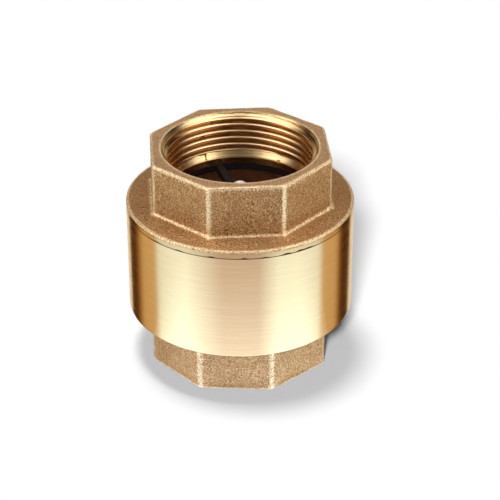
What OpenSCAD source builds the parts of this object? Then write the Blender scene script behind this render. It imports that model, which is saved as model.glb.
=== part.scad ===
// Spring-loaded non-return valve, inch-and-a-half size, standing on its inlet end.
// Millimetres. Z is the flow direction, from the inlet face at 0 up to the outlet face.
// The front of the object is -Y. All round parts share the Z axis.
// Radii grow outwards from the pipe thread, and levels stack upwards from the inlet face.

/* [Pipe threads] */
// Diameter over the thread crests, which is the bore of each threaded end
thread_minor_d = 44.84; // [44.6:0.02:45]
// Depth of the lead-in chamfer at each face
chamfer = 1.88; // [1.5:0.02:2]
// Depth of the inlet socket, from the face to its floor
inlet_socket = 18.5; // [17.5:0.1:20]
// Length of the run-out at the inner end of the inlet thread
inlet_runout = 1.5; // [1:0.1:2]
// Step in radius at a run-out
runout_step = 0.3; // [0.25:0.05:0.4]

/* [Octagon ends] */
// Width of the flat ring between a chamfer and the nearest flat
face_land = 3.1; // [2.7:0.1:4]
// Radius on the eight upright corner edges
corner_radius = 2.4; // [1:0.2:4]
// Length of the inlet octagon below the body
inlet_end_height = 17.5; // [16.5:0.5:20]
// Length of the outlet octagon above the shoulder
outlet_end_height = 16.5; // [14.5:0.5:19]
// Turn of the inlet octagon about Z, in degrees
inlet_turn = -3.2; // [-10:0.2:10]
// Turn of the outlet octagon about Z, in degrees
outlet_turn = 4; // [-10:0.2:10]
// Rise of the cast shoulders from the rim to the octagon
shoulder_slope = 0.6; // [0.2:0.1:1]

/* [Seat] */
// Step inwards from the thread crests to the port through the seat
port_step = 3.92; // [3:0.02:5]
// Thickness of the web that carries the seat
web_thickness = 3.5; // [3:0.5:5]
// Height of the raised lip that the seal closes on
lip_height = 1.5; // [1:0.1:2]
// Radial width of the lip
lip_width = 2; // [1.5:0.1:2.4]

/* [Body and cap] */
// Wall of the body outside the cap's screw
body_wall = 3.5; // [3:0.1:5]
// Height of the cap's machined rim
rim_height = 2.5; // [2:0.1:3.2]
// Length of the cap's skirt inside the body
skirt_length = 7.9; // [7:0.1:8.4]
// Wall of the cap's skirt
skirt_wall = 3.95; // [3.4:0.05:4.4]
// Room between the guide's ring and the inside of the skirt
skirt_room = 3; // [2:0.1:4]
// Narrowing from the cap's screw to the chamber
chamber_land = 2; // [1:0.1:2.5]
// Section of the O-ring under the rim
o_ring_section = 2; // [1.6:0.1:2.2]

/* [Guide] */
// Width of each of the four arms
arm_width = 2.6; // [2:0.2:4]
// Direction of the first arm about Z, in degrees from +X
arm_turn = 17; // [0:1:45]
// Hub diameter
hub_d = 12; // [11:0.5:13]
// Length of the hub below the spring flange
hub_length = 6; // [5:0.5:8]
// Height of the hub above the ring
hub_rise = 1.9; // [1:0.1:2.5]
// Height of the guide's outer ring
ring_height = 2.5; // [2:0.1:3]
// Radial width of the guide's outer ring
ring_width = 2.58; // [2:0.02:3.2]
// Thickness of the spring flange
flange_height = 1.6; // [1.2:0.1:2.4]

/* [Plunger] */
// Travel from closed to the stop
lift = 10; // [8:0.5:10]
// Height of the stop boss above the disc
boss_height = 4; // [3:0.5:6]
// Stem diameter
stem_d = 7; // [6:0.2:7.4]
// Height of the stem's domed end above the guide
stem_rise = 5.1; // [4:0.1:6]
// Thickness of the disc
disc_thickness = 3.5; // [3:0.1:4]
// Overhang of the disc past the seal ring
disc_overhang = 1.4; // [0.8:0.1:2.4]
// Thickness of the seal ring
seal_thickness = 3; // [2.5:0.1:3.5]
// Overhang of the seal ring past the lip
seal_overhang = 1.6; // [1:0.1:2]

/* [Spring] */
// Wire diameter
wire_d = 1.2; // [1:0.1:1.4]
// Mean coil diameter
coil_d = 18; // [17.6:0.2:18.6]
// Free coils between the closed end coils
active_coils = 4; // [3:0.5:4.5]

/* [Hidden] */
$fn = 64;
tiny = 0.01;
running = 0.05;                                   // radial clearance of the sliding and screwed fits
broken = 0.4;                                     // broken edge of turned rims
fine_edge = 0.2;                                  // broken edge at the joint
soft_edge = 0.3;                                  // broken edge of moulded pieces
seat_cover = 0.9;                                 // cap metal over the guide's ring

// pipe thread and octagon, from the thread outwards
r_thread = thread_minor_d / 2;
r_runout = r_thread - runout_step;
r_mouth = r_thread + chamfer;
r_flat = r_mouth + face_land;                     // centre to a flat of the octagon

// guide, skirt, screw and body, each outside the one before
r_ring = r_thread + ring_width;
r_skirt_in = r_ring + skirt_room;
r_skirt = r_skirt_in + skirt_wall;
r_screw = r_skirt + running;
r_chamber = r_screw - chamber_land;
r_body = r_screw + body_wall;
chamber_corner = 3;

// seat, seal and disc
r_port = r_thread - port_step;
r_lip = r_port + lip_width;
r_seal = r_lip + seal_overhang;
r_disc = r_seal + disc_overhang;
r_seal_in = r_port - 5.5;
r_plate = r_port - 2.2;

// levels, upwards from the inlet face
z_web = inlet_socket;
z_floor = z_web + web_thickness;
z_seat = z_floor + lip_height;
z_disc = z_seat + seal_thickness;
z_disc_top = z_disc + disc_thickness;
z_boss = z_disc_top + boss_height;
z_hub = z_boss + lift;
z_flange = z_hub + hub_length;                    // spring bears here
z_ring = z_flange + flange_height;
z_guide = z_ring + ring_height;                   // face in the cap that the guide bears on
z_shoulder = z_guide + seat_cover;
overall_height = z_shoulder + outlet_end_height;
z_hub_top = z_guide + hub_rise;
z_stem = z_guide + stem_rise;                     // highest point of the domed stem
z_full = z_stem + 1.2;                            // the outlet's full thread ends above the stem
z_rim = z_shoulder - shoulder_slope;
z_joint = z_rim - rim_height;
z_skirt = z_joint - skirt_length;

// guide and plunger sizes that follow from others
r_hub = hub_d / 2;
r_flange = coil_d / 2 + 2;
r_centre = coil_d / 2 - wire_d / 2 - 0.2;         // shoulders that centre the spring
centre_height = 1.4;
r_stem = stem_d / 2;
r_boss = r_hub - 0.5;

// retaining plate, washer and screw
plate_thickness = 2;
z_plate = z_seat - plate_thickness;
washer_thickness = 0.9;
z_washer = z_plate - washer_thickness;
r_washer = 3.6;
screw_d = 4;
head_d = 7;
head_height = 2.4;
head_edge = 0.7;
key_width = 3;
key_depth = 1.5;
z_screw = z_washer - head_height;
z_screw_end = z_disc_top + boss_height / 2;

// O-ring and its groove
o_squeeze = 0.1;
o_width = o_ring_section - 2 * o_squeeze;
groove = o_ring_section + fine_edge;
z_groove = z_joint - broken - groove;
r_groove = r_screw - o_width;

// spring levels
spring_length = z_flange - z_disc_top;
end_pitch = wire_d + 0.05;
turns = active_coils + 2;
active_pitch = (spring_length - 2 * end_pitch) / active_coils;
steps = 20;
sides = 8;

// outline of an octagon end, with rounded corners
module octagon() {
    reach = (r_flat - corner_radius) / cos(22.5);
    polygon([for (k = [0:7], s = [-22.5, 22.5])
        let (a = 22.5 + 45 * k)
        [reach * cos(a) + corner_radius * cos(a + s), reach * sin(a) + corner_radius * sin(a + s)]]);
    for (k = [0:7])
        rotate(22.5 + 45 * k) translate([reach, 0]) circle(corner_radius);
}

// turned body: octagon inlet, seat and chamber in one casting
module valve_body() {
    color([0.72, 0.55, 0.32]) difference() {
        union() {
            rotate([0, 0, inlet_turn]) linear_extrude(inlet_end_height + broken) octagon();
            rotate_extrude() polygon([
                [0, inlet_end_height - shoulder_slope], [r_flat - 1, inlet_end_height - shoulder_slope],
                [r_body - broken, inlet_end_height], [r_body, inlet_end_height + broken],
                [r_body, z_joint], [0, z_joint]]);
        }
        rotate_extrude() polygon([
            [0, -tiny], [r_mouth + tiny, -tiny], [r_thread, chamfer], [r_thread, z_web - inlet_runout],
            [r_runout, z_web - inlet_runout], [r_runout, z_web], [r_port, z_web], [r_port, z_seat],
            [r_lip, z_seat], [r_lip + 0.5, z_floor], [r_chamber - chamber_corner, z_floor],
            [r_chamber, z_floor + chamber_corner], [r_chamber, z_skirt - 0.5 - chamber_land],
            [r_screw, z_skirt - 0.5], [r_screw, z_joint + 1], [0, z_joint + 1]]);
    }
}

// end cap: octagon outlet, shoulder, rim and screwed skirt
module end_cap() {
    color([0.74, 0.57, 0.34]) difference() {
        union() {
            rotate([0, 0, outlet_turn]) translate([0, 0, z_rim])
                linear_extrude(overall_height - z_rim) octagon();
            rotate_extrude() polygon([
                [0, z_skirt], [r_skirt - 0.6, z_skirt], [r_skirt, z_skirt + 0.6], [r_skirt, z_groove],
                [r_groove, z_groove], [r_groove, z_groove + groove], [r_skirt, z_groove + groove],
                [r_skirt, z_joint], [r_body - fine_edge, z_joint], [r_body, z_joint + fine_edge],
                [r_body, z_rim - broken], [r_body - broken, z_rim], [r_flat - 1, z_shoulder],
                [0, z_shoulder]]);
        }
        rotate_extrude() polygon([
            [0, z_skirt - tiny], [r_skirt_in, z_skirt - tiny], [r_skirt_in, z_ring - skirt_room],
            [r_ring + running + broken, z_ring - broken], [r_ring + running, z_ring],
            [r_ring + running, z_guide], [r_runout, z_guide], [r_runout, z_full], [r_thread, z_full],
            [r_thread, overall_height - chamfer], [r_mouth + tiny, overall_height + tiny],
            [0, overall_height + tiny]]);
    }
}

// O-ring, squeezed between the groove and the body bore
module body_o_ring() {
    color([0.10, 0.10, 0.10]) rotate_extrude()
        translate([r_groove + o_width / 2, z_groove + groove / 2]) intersection() {
            circle(o_ring_section / 2);
            square([o_width, o_ring_section + 1], center = true);
        }
}

// guide: outer ring, four arms, spring flange and bored hub
module guide_spider() {
    color([0.09, 0.09, 0.10]) difference() {
        union() {
            rotate_extrude() polygon([
                [r_thread, z_ring], [r_ring, z_ring], [r_ring, z_guide], [r_thread, z_guide]]);
            for (k = [0:3])
                rotate([0, 0, arm_turn + 90 * k]) translate([r_hub - 1, -arm_width / 2, z_ring])
                    cube([r_thread + ring_width / 4 - r_hub + 1, arm_width, ring_height]);
            rotate_extrude() polygon([
                [0, z_hub], [r_hub, z_hub], [r_hub, z_flange - centre_height],
                [r_centre, z_flange - centre_height + fine_edge], [r_centre, z_flange],
                [r_flange, z_flange], [r_flange, z_ring + broken], [r_hub, z_ring + broken],
                [r_hub, z_hub_top - soft_edge], [r_hub - soft_edge, z_hub_top], [0, z_hub_top]]);
        }
        translate([0, 0, z_hub - 1]) cylinder(r = r_stem + running, h = z_hub_top - z_hub + 2);
    }
}

// coil height at turn t: closed end coils, free coils between them
function coil_z(t) = z_disc_top
    + (t < 1 ? end_pitch * t
     : t > turns - 1 ? spring_length - end_pitch * (turns - t)
     : end_pitch + active_pitch * (t - 1));

// return spring, a round wire with both ends ground flat
module spring() {
    count = round(turns * steps);
    rings = [for (i = [0:count])
        let (t = i / steps, a = 360 * t)
        [for (j = [0:sides - 1])
            let (b = 360 * j / sides, r = coil_d / 2 + wire_d / 2 * cos(b))
            [r * cos(a), r * sin(a),
             min(z_flange, max(z_disc_top, coil_z(t) + wire_d / 2 * sin(b)))]]];
    points = [for (g = rings, p = g) p];
    skin = [for (i = [0:count - 1], j = [0:sides - 1])
        let (k = (j + 1) % sides, m = i * sides, n = m + sides)
        each [[m + j, n + j, n + k], [m + j, n + k, m + k]]];
    low = sides / 4;                               // wire's highest point at the lower end
    high = 3 * sides / 4;                          // wire's lowest point at the upper end
    last = count * sides;
    color([0.70, 0.71, 0.72]) polyhedron(points, concat(skin,
        [for (j = [1:sides - 2]) [low, (low + j) % sides, (low + j + 1) % sides]],
        [for (j = [1:sides - 2])
            [last + high, last + (high + j + 1) % sides, last + (high + j) % sides]]));
}

// plunger: disc, stop boss and domed stem
module plunger() {
    color([0.90, 0.87, 0.82]) difference() {
        union() {
            rotate_extrude() polygon([
                [0, z_disc], [r_disc - soft_edge, z_disc], [r_disc, z_disc + soft_edge],
                [r_disc, z_disc_top - 4 * soft_edge], [r_disc - 4 * soft_edge, z_disc_top],
                [r_centre, z_disc_top], [r_centre, z_disc_top + centre_height - soft_edge],
                [r_centre - soft_edge, z_disc_top + centre_height],
                [r_boss, z_disc_top + centre_height], [r_boss, z_boss], [r_stem, z_boss],
                [r_stem, z_stem - r_stem], [0, z_stem - r_stem]]);
            translate([0, 0, z_stem - r_stem]) sphere(r_stem);
        }
        translate([0, 0, z_disc - 1]) cylinder(d = screw_d, h = z_screw_end - z_disc + 1);
    }
}

// seal ring that closes on the seat lip
module seat_seal() {
    color([0.12, 0.12, 0.12]) rotate_extrude() polygon([
        [r_seal_in, z_seat], [r_seal - soft_edge, z_seat], [r_seal, z_seat + soft_edge],
        [r_seal, z_disc], [r_seal_in, z_disc]]);
}

// plate that clamps the seal ring, with a spigot through it
module seal_plate() {
    color([0.74, 0.58, 0.34]) rotate_extrude() polygon([
        [screw_d / 2, z_plate], [r_plate - broken, z_plate], [r_plate, z_plate + broken],
        [r_plate, z_seat], [r_seal_in, z_seat], [r_seal_in, z_disc], [screw_d / 2, z_disc]]);
}

// lock washer under the screw head
module lock_washer() {
    color([0.66, 0.67, 0.68]) rotate_extrude() translate([screw_d / 2, z_washer])
        square([r_washer - screw_d / 2, washer_thickness]);
}

// screw that holds the plate and seal to the plunger
module plunger_screw() {
    color([0.68, 0.69, 0.70]) difference() {
        rotate_extrude() polygon([
            [0, z_screw], [head_d / 2 - head_edge, z_screw], [head_d / 2, z_screw + head_edge],
            [head_d / 2, z_washer], [screw_d / 2, z_washer], [screw_d / 2, z_screw_end],
            [0, z_screw_end]]);
        translate([0, 0, z_screw - tiny]) cylinder(r = key_width / 2 / cos(30), h = key_depth, $fn = 6);
    }
}

valve_body();
end_cap();
body_o_ring();
guide_spider();
spring();
plunger();
seat_seal();
seal_plate();
lock_washer();
plunger_screw();
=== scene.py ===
"""Looks of a brass non-return valve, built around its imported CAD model.

Sizes are millimetres from the valve's base centre, and become metres where a mesh is made.
"""

import math
import random

import bmesh
import bpy
import numpy as np
from bpy.props import FloatProperty, FloatVectorProperty, IntProperty, PointerProperty
from bpy.types import Operator, Panel, PropertyGroup
from mathutils import Matrix, Vector, noise


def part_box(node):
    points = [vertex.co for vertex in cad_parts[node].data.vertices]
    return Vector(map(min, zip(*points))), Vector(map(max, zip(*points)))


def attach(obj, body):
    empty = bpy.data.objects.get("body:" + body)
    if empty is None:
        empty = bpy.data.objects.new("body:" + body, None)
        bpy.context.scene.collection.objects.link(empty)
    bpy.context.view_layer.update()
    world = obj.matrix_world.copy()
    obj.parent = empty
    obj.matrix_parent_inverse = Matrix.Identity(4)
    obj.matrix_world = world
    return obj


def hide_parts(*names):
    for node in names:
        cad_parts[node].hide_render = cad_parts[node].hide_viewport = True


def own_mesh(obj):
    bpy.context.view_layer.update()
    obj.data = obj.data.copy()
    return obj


bl_info = {
    "name": "Non-return valve",
    "version": (1, 0, 0),
    "blender": (4, 5, 0),
    "location": "View3D > Sidebar > Valve",
    "description": "Builds the valve's castings, threads, guide, plunger, spring and studio",
    "category": "Object",
}

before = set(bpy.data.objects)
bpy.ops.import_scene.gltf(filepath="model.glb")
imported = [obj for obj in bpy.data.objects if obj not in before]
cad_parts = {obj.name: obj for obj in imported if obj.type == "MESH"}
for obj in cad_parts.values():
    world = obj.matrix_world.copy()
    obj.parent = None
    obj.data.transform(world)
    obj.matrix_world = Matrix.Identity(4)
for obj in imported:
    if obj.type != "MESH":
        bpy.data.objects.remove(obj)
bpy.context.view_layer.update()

MM = 0.001


def top_of(node):
    """Highest point of a CAD node, in millimetres."""
    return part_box(node)[1].z / MM


def bottom_of(node):
    """Lowest point of a CAD node, in millimetres."""
    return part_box(node)[0].z / MM


def reach_of(node):
    """Largest radius of a CAD node along X, in millimetres."""
    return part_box(node)[1].x / MM


# levels and radii that the CAD model gives
HEIGHT = top_of("end_cap")
JOINT = top_of("valve_body")
BODY_R = reach_of("valve_body")
SKIRT = bottom_of("end_cap")
GUIDE_FACE = top_of("body_o_ring") + 2.6
SEAT = bottom_of("seat_seal")
DISC = top_of("seat_seal")

# sizes of the castings
APOTHEM = 27.4
CORNER = 2.4
INLET_TURN = math.radians(-3.2)
OUTLET_TURN = math.radians(4)
INLET_END = 17.5
SHOULDER = 55.0
SLOPE = 0.6
CREST_R = 22.42
RUNOUT_R = 21.95
JOINT_CHIPS = ((-104, 1.5, 0.35), (-88, 1.2, 0.40), (-78, 1.5, 0.25), (-67, 2.2, 0.40), (-60, 1.8, 0.45),
               (-55, 2.8, 0.35), (-121, 1.8, 0.25), (-135, 3.0, 0.25), (30, 2.5, 0.3), (100, 2.5, 0.3))
MOUTH_R = 24.3
THREAD_END = 55.52
GUIDE_BORE_R = 25.07

CAST, TURNED, THREAD, FACE, INSIDE, MOUTH = range(6)


# settings


class BrassSettings(PropertyGroup):
    cast_colour: FloatVectorProperty(
        name="Cast colour", description="Blasted skin of the octagon ends and shoulder",
        subtype="COLOR", size=3, min=0, max=1, default=(0.59, 0.353, 0.155))
    body_cast_colour: FloatVectorProperty(
        name="Body cast colour", description="Paler blasted skin of the body's inlet octagon",
        subtype="COLOR", size=3, min=0, max=1, default=(0.56, 0.35, 0.17))
    # Dark, low-contrast cast colour inside the chamber: painted shade of the hollow over the duller cast skin; the
    # joint groove uses it too, for its dark line.
    inside_shade_colour: FloatVectorProperty(
        name="Inside colour", description="Dull casting inside the chamber",
        subtype="COLOR", size=3, min=0, max=1, default=(0.42, 0.19, 0.10))
    face_colour: FloatVectorProperty(
        name="Face colour", description="Faced ring round each thread",
        subtype="COLOR", size=3, min=0, max=1, default=(0.585, 0.36, 0.185))
    # Pale colour for rubbing on corners and for painted highlights along edges, fillets and the front side.
    edge_colour: FloatVectorProperty(
        name="Rubbed edge", description="Pale metal where corners are rubbed bright",
        subtype="COLOR", size=3, min=0, max=1, default=(0.98, 0.83, 0.57))
    turned_colour: FloatVectorProperty(
        name="Turned colour", description="Freshly turned brass",
        subtype="COLOR", size=3, min=0, max=1, default=(0.86, 0.66, 0.40))
    thread_colour: FloatVectorProperty(
        name="Thread colour", description="Cut brass inside the threads",
        subtype="COLOR", size=3, min=0, max=1, default=(0.89, 0.63, 0.31))
    mouth_colour: FloatVectorProperty(
        name="Mouth colour", description="Chamfer at the mouth of each thread",
        subtype="COLOR", size=3, min=0, max=1, default=(0.99, 0.86, 0.54))
    grain: FloatProperty(
        name="Blast grain", description="Size of one dimple of the blasted skin",
        unit="LENGTH", min=0.0001, max=0.002, default=0.00045)
    skin: FloatProperty(
        name="Skin height", description="Height of the uneven casting skin",
        unit="LENGTH", min=0, max=0.0003, default=0.00006)


class ThreadSettings(PropertyGroup):
    pitch: FloatProperty(
        name="Pitch", description="Distance from one thread crest to the next",
        unit="LENGTH", min=0.001, max=0.004, default=0.002309)
    depth: FloatProperty(
        name="Depth", description="Height from thread root to thread crest",
        unit="LENGTH", min=0.0005, max=0.002, default=0.001478)
    rounding: FloatProperty(
        name="Rounding", description="Radius of the crests and roots",
        unit="LENGTH", min=0.0001, max=0.0005, default=0.000317)


class MouldedSettings(PropertyGroup):
    guide_colour: FloatVectorProperty(
        name="Guide", description="Moulded guide", subtype="COLOR", size=3, min=0, max=1,
        default=(0.006, 0.004, 0.004))
    plunger_colour: FloatVectorProperty(
        name="Plunger", description="Moulded plunger", subtype="COLOR", size=3, min=0, max=1,
        default=(0.80, 0.70, 0.62))
    rubber_colour: FloatVectorProperty(
        name="Rubber", description="Seal ring and O-ring", subtype="COLOR", size=3, min=0, max=1,
        default=(0.015, 0.015, 0.016))
    steel_colour: FloatVectorProperty(
        name="Steel", description="Spring, washer and screw", subtype="COLOR", size=3, min=0, max=1,
        default=(0.60, 0.61, 0.62))


class StudioSettings(PropertyGroup):
    distance: FloatProperty(
        name="Camera distance", description="From the camera to the valve's middle",
        unit="LENGTH", min=0.2, max=2, default=0.5542)
    elevation: FloatProperty(
        name="Camera elevation", description="Angle of the view above the horizon",
        subtype="ANGLE", min=0, max=1.5, default=math.radians(29.98))
    key_light: FloatProperty(
        name="Key light", description="Strength of the soft light beside the camera",
        min=0, max=10, default=3.12)
    top_light: FloatProperty(
        name="Top light", description="Strength of the soft light from above",
        min=0, max=10, default=1.60)


# node helpers


def new_material(name):
    """An empty node material with its output node."""
    material = bpy.data.materials.new(name)
    material.use_nodes = True
    tree = material.node_tree
    tree.nodes.clear()
    return material, tree, tree.nodes.new("ShaderNodeOutputMaterial")


def add(tree, kind, inputs=None, **props):
    """Adds a shader node, sets its properties, and sets or links its inputs."""
    node = tree.nodes.new("ShaderNode" + kind)
    for key, value in props.items():
        setattr(node, key, value)
    for key, value in (inputs or {}).items():
        if isinstance(value, bpy.types.NodeSocket):
            tree.links.new(value, node.inputs[key])
        else:
            node.inputs[key].default_value = value
    return node


def rgba(colour):
    """A colour with its alpha."""
    return (*colour, 1.0)


def ramp(tree, factor, *stops):
    """A colour ramp through the stops, each a position and a grey level or colour."""
    node = add(tree, "ValToRGB", {"Fac": factor})
    elements = node.color_ramp.elements
    while len(elements) < len(stops):
        elements.new(0.5)
    for element, (position, colour) in zip(elements, stops):
        element.position = position
        element.color = rgba(colour) if hasattr(colour, "__len__") else (colour,) * 3 + (1.0,)
    return node.outputs["Color"]


def grain_of(tree, scale, detail=3.0, rough=0.6, stretch=(1, 1, 1)):
    """Noise over the object's own coordinates, with its features about 1 / scale metres wide."""
    where = add(tree, "TexCoord").outputs["Object"]
    spread = add(tree, "Mapping", {"Vector": where, "Scale": stretch}).outputs["Vector"]
    return add(tree, "TexNoise", {"Vector": spread, "Scale": scale, "Detail": detail,
                                  "Roughness": rough}).outputs["Fac"]


def mixed(tree, factor, a, b, blend="MIX"):
    """A colour mix."""
    node = add(tree, "Mix", data_type="RGBA", blend_type=blend)
    for index, value in ((0, factor), (6, a), (7, b)):
        if isinstance(value, bpy.types.NodeSocket):
            tree.links.new(value, node.inputs[index])
        else:
            node.inputs[index].default_value = value
    return node.outputs[2]


def maths(tree, operation, a, b=0.5, clamp=False):
    """A math node on two numbers or sockets."""
    return add(tree, "Math", {0: a, 1: b}, operation=operation, use_clamp=clamp).outputs[0]


def bump_of(tree, height, distance, strength=1.0, normal=None):
    """A bump of the given real height."""
    inputs = {"Height": height, "Distance": distance, "Strength": strength}
    if normal is not None:
        inputs["Normal"] = normal
    return add(tree, "Bump", inputs).outputs["Normal"]


# materials


def cast_brass(settings, name, colour, contrast=1.0):
    """Shot-blasted brass casting; pale where the attribute is high, from rubbing and painted highlights, and darker
    where it is below zero, a painted shade.
    """
    material, tree, out = new_material(name)
    dimple = 1 / settings.grain
    fine = grain_of(tree, dimple, 2.0, 0.6)
    clump = grain_of(tree, dimple * 0.3, 2.0, 0.6)
    broad = grain_of(tree, 110, 2.0, 0.5)
    wear = add(tree, "Attribute", attribute_name="wear").outputs["Fac"]
    dark = [c * (1 - contrast * (1 - f)) for c, f in zip(colour, (0.46, 0.38, 0.30))]
    light = [c + (w - c) * 0.48 * contrast for c, w in zip(colour, settings.edge_colour)]
    tone = mixed(tree, ramp(tree, fine, (0.36, 0.0), (0.54, 1.0)), rgba(dark), rgba(colour))
    tone = mixed(tree, ramp(tree, fine, (0.52, 0.0), (0.66, 1.0)), tone, rgba(light))
    tone = mixed(tree, ramp(tree, clump, (0.35, 0.0), (0.75, 0.30)), tone, rgba(light))
    tone = mixed(tree, ramp(tree, broad, (0.35, 0.25), (0.65, 0.0)), tone, rgba(dark))
    ragged = maths(tree, "ADD", wear, maths(tree, "MULTIPLY", maths(tree, "SUBTRACT", fine, 0.5), 1.6))
    rubbed_and_highlit = ramp(tree, ragged, (0.42, 0.0), (1.0, 1.0))
    tone = mixed(tree, rubbed_and_highlit, tone, rgba(settings.edge_colour))
    # Below zero the attribute darkens the colour: painted shade on the cap's side flats and on the sides and back of
    # its shoulder.
    painted_side_shade = ramp(tree, maths(tree, "MULTIPLY", wear, -1.0), (0.0, 0.0), (0.4, 0.6))
    tone = mixed(tree, painted_side_shade, tone, rgba(dark))
    height = maths(tree, "ADD", maths(tree, "MULTIPLY", clump, 0.8), fine)
    rough = maths(tree, "SUBTRACT", ramp(tree, fine, (0.3, 0.72), (0.7, 0.58)),
                  maths(tree, "MULTIPLY", rubbed_and_highlit, 0.12))
    shader = add(tree, "BsdfPrincipled", {
        "Base Color": tone, "Metallic": 1.0, "Roughness": rough,
        "Normal": bump_of(tree, height, settings.grain * 0.26, 0.9)})
    tree.links.new(shader.outputs[0], out.inputs[0])
    return material


def turned_brass(settings, name="turned_brass", colour=None, roughness=(0.14, 0.20), shaded_roots_lit_crests=False,
                 lines=(0.92, 0.92, 0.92)):
    """Turned brass: fine lines round the axis spread its reflections along the axis."""
    material, tree, out = new_material(name)
    colour = colour or settings.turned_colour
    pass_lines = grain_of(tree, 1.0, 3.0, 0.7, (70, 70, 4200))
    feed = grain_of(tree, 1.0, 1.0, 0.5, (40, 40, 1500))
    stain = grain_of(tree, 90, 3.0, 0.6)
    tone = mixed(tree, ramp(tree, pass_lines, (0.35, 0.0), (0.65, 1.0)),
                 rgba([c * f for c, f in zip(colour, lines)]), rgba(colour))
    tone = mixed(tree, ramp(tree, stain, (0.5, 0.0), (0.8, 0.15)), tone,
                 rgba((colour[0] * 0.93, colour[1] * 0.84, colour[2] * 0.76)))
    # On threads, the dark colour in the roots is painted shade and the pale tint on the crests is a painted
    # highlight.
    if shaded_roots_lit_crests:
        wear = add(tree, "Attribute", attribute_name="wear").outputs["Fac"]
        painted_root_shade = rgba([c * f for c, f in zip(colour, (0.60, 0.31, 0.14))])
        tone = mixed(tree, ramp(tree, wear, (0.0, 0.0), (0.38, 1.0)), painted_root_shade, tone)
        tone = mixed(tree, ramp(tree, wear, (0.80, 0.0), (0.97, 0.8)), tone, rgba((0.97, 0.76, 0.58)))
    rough = ramp(tree, feed, (0.3, roughness[0]), (0.7, roughness[1]))
    height = maths(tree, "ADD", maths(tree, "MULTIPLY", pass_lines, 0.6), feed)
    shader = add(tree, "BsdfPrincipled", {
        "Base Color": tone, "Metallic": 1.0, "Roughness": rough, "Anisotropic": 0.9,
        "Specular Tint": rgba((0.94, 0.78, 0.52)),
        "Anisotropic Rotation": 0.25,
        "Tangent": add(tree, "Tangent", direction_type="RADIAL", axis="Z").outputs[0],
        "Normal": bump_of(tree, height, 0.000005, 0.5)})
    tree.links.new(shader.outputs[0], out.inputs[0])
    return material


def machined_face(settings):
    """Faced end ring, duller than the turned body, with some grain of the casting in it."""
    material, tree, out = new_material("machined_face")
    fine = grain_of(tree, 1900, 2.0, 0.6)
    coarse = grain_of(tree, 220, 3.0, 0.6)
    wear = add(tree, "Attribute", attribute_name="wear").outputs["Fac"]
    colour = settings.face_colour
    tone = mixed(tree, ramp(tree, coarse, (0.35, 0.0), (0.65, 1.0)), rgba([c * 0.84 for c in colour]),
                 rgba(colour))
    tone = mixed(tree, ramp(tree, fine, (0.34, 0.6), (0.50, 0.0)), tone,
                 rgba([c * f for c, f in zip(colour, (0.55, 0.48, 0.40))]))
    tone = mixed(tree, ramp(tree, fine, (0.52, 0.0), (0.68, 0.6)), tone, rgba(settings.turned_colour))
    # Pale where the attribute is high: rubbing at the edges, and a painted highlight on the cap's front.
    ragged = maths(tree, "ADD", wear, maths(tree, "MULTIPLY", maths(tree, "SUBTRACT", fine, 0.5), 1.5))
    tone = mixed(tree, ramp(tree, ragged, (0.45, 0.0), (0.95, 0.85)), tone, rgba(settings.edge_colour))
    shader = add(tree, "BsdfPrincipled", {
        "Base Color": tone, "Metallic": 1.0, "Roughness": ramp(tree, fine, (0.3, 0.46), (0.7, 0.36)),
        "Normal": bump_of(tree, fine, 0.00004, 0.6)})
    tree.links.new(shader.outputs[0], out.inputs[0])
    return material


def moulded(name, colour, roughness=0.45, tint=0.25, ior=1.5, grain=900, height=0.00001):
    """Moulded plastic or rubber with a faint skin texture."""
    material, tree, out = new_material(name)
    fine = grain_of(tree, grain, 3.0, 0.6)
    broad = grain_of(tree, 130, 2.0, 0.5)
    tone = mixed(tree, ramp(tree, broad, (0.3, 0.0), (0.7, 1.0)),
                 rgba([c * (1 - tint) for c in colour]), rgba(colour))
    shader = add(tree, "BsdfPrincipled", {
        "Base Color": tone, "IOR": ior,
        "Roughness": ramp(tree, fine, (0.3, roughness), (0.7, min(1.0, roughness + 0.15))),
        "Normal": bump_of(tree, fine, height, 0.6)})
    tree.links.new(shader.outputs[0], out.inputs[0])
    return material


def drawn_steel(colour, name="drawn_steel", stretch=(1, 1, 1)):
    """Drawn or turned stainless steel."""
    material, tree, out = new_material(name)
    fine = grain_of(tree, 1500, 3.0, 0.6, stretch)
    tone = mixed(tree, ramp(tree, fine, (0.35, 0.0), (0.65, 1.0)), rgba([c * 0.75 for c in colour]),
                 rgba(colour))
    shader = add(tree, "BsdfPrincipled", {
        "Base Color": tone, "Metallic": 1.0, "Roughness": ramp(tree, fine, (0.3, 0.22), (0.7, 0.38)),
        "Normal": bump_of(tree, fine, 0.000006, 0.6)})
    tree.links.new(shader.outputs[0], out.inputs[0])
    return material


# mesh helpers


def sector_angles():
    """Angles round the axis, closer together at the eight corners of an octagon."""
    flat = np.linspace(-20.4, 20.4, 41)
    corner = np.linspace(20.4, 24.6, 11)[1:-1]
    return np.radians(np.concatenate([np.concatenate([flat, corner]) + 45 * k for k in range(8)]))


def octagon(angles, grow=0.0):
    """Distance from the axis to the rounded octagon, grown outwards by some millimetres."""
    half = math.radians(22.5)
    off = np.abs((angles + half) % (2 * half) - half)
    apothem, corner = APOTHEM + grow, max(CORNER + grow, 0.05)
    inner = (apothem - corner) / math.cos(half)
    flat = apothem / np.cos(off)
    rest = half - off
    arc = inner * np.cos(rest) + np.sqrt(np.maximum(corner**2 - (inner * np.sin(rest)) ** 2, 0))
    return np.where(apothem * np.tan(off) <= (apothem - corner) * math.tan(half), flat, arc)


def corner_wear(angles, start=19.6, reach=2.2, most=0.95):
    """How far each angle lies in a pale corner, from 0 to most, partly rubbing and partly painted highlight; start
    and reach are in degrees.
    """
    half = math.radians(22.5)
    off = np.degrees(np.abs((angles + half) % (2 * half) - half))
    return np.clip((off - start) / reach, 0, 1) * most


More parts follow.
